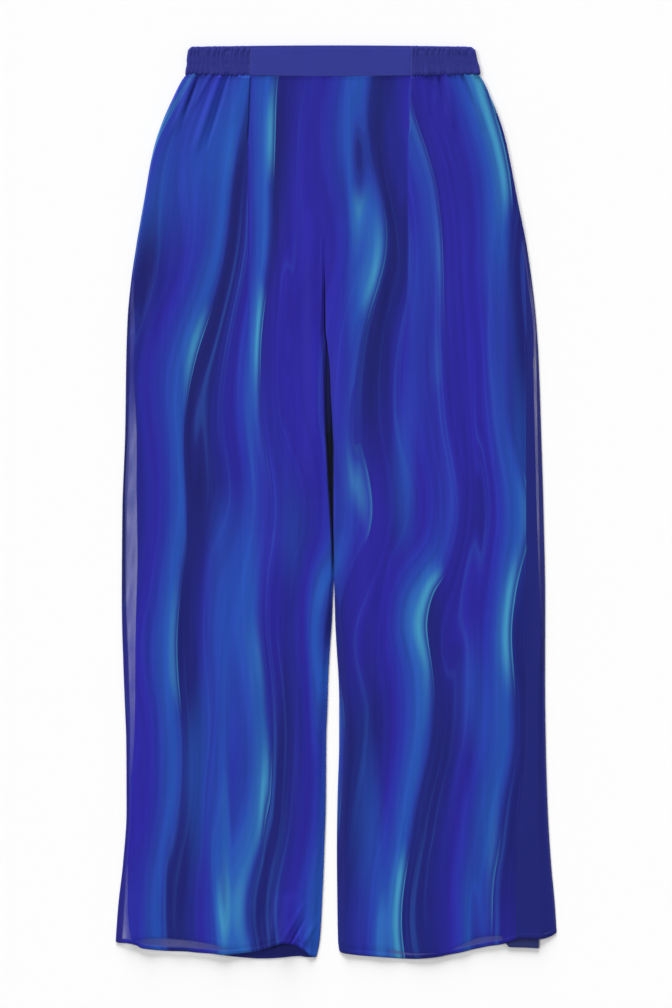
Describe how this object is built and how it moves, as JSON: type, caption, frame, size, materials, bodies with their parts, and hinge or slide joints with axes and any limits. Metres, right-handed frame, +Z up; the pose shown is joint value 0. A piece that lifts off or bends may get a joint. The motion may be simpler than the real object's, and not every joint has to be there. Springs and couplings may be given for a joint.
{
  "type": "wide-leg trousers, laid flat",
  "caption": "Long wide-leg pull-on trousers laid flat, with a plain flat front waistband, gathered sides, pleats, a printed front, a plain back and a shorter lining.",
  "frame": {"origin": "centre of the outline that the trousers cover, on the surface that they lie on", "axes": "+X towards the wearer's left, +Y from the hems to the waist, +Z up out of the surface, on the front's side"},
  "size_m": [0.5074, 1.05, 0.0104],
  "materials": {
    "waistband_plain": "matt woven crepe, interfaced and flat",
    "waistband_gathered": "matt woven crepe, gathered on elastic",
    "printed_chiffon": "thin printed chiffon with a flowing blue streak pattern, slightly see-through, soft low sheen",
    "plain_chiffon": "thin plain navy chiffon, slightly see-through, soft low sheen",
    "lining": "smooth plain navy lining with a faint sheen"
  },
  "bodies": {
    "root": {"waistband_front": "waistband_plain", "waistband_back": "waistband_gathered", "front_right": "printed_chiffon", "front_left": "printed_chiffon", "back_right": "plain_chiffon", "back_left": "plain_chiffon", "lining_front_right": "lining", "lining_front_left": "lining", "lining_back_right": "lining", "lining_back_left": "lining"}
  },
  "joints": []
}
